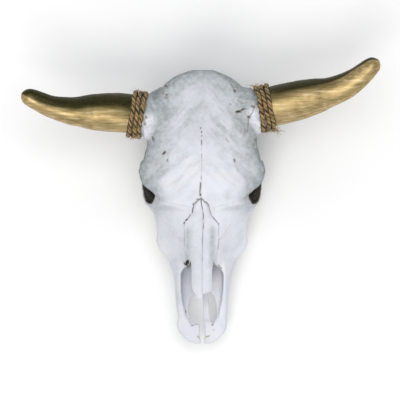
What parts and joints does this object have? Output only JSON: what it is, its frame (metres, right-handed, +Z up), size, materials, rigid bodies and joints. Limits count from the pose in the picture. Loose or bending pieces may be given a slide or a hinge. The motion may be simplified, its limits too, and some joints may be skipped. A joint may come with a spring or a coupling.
{
  "type": "cow skull",
  "caption": "Bleached cow skull without its lower jaw, lying at rest, with gold painted horns bound at their roots in jute rope.",
  "frame": {"origin": "on the surface it rests on, under the root of the nose, which is the middle of the skull's box", "axes": "+Z up, the nose points along -Y and the poll along +Y, +X is the animal's own left, and the horns spread along X"},
  "size_m": [0.6321, 0.5025, 0.1906],
  "materials": {
    "bone": "bleached bone, dry and matte",
    "painted_horn": "brushed gold paint over horn",
    "jute_rope": "twisted jute fibre"
  },
  "bodies": {
    "root": {"cranium": "bone", "nasal_left": "bone", "nasal_right": "bone", "lacrimal_left": "bone", "lacrimal_right": "bone", "cheekbone_left": "bone", "cheekbone_right": "bone", "maxilla_left": "bone", "maxilla_right": "bone", "premaxilla_left": "bone", "premaxilla_right": "bone", "horn_left": "painted_horn", "horn_right": "painted_horn", "rope_left": "jute_rope", "rope_right": "jute_rope"}
  },
  "joints": []
}
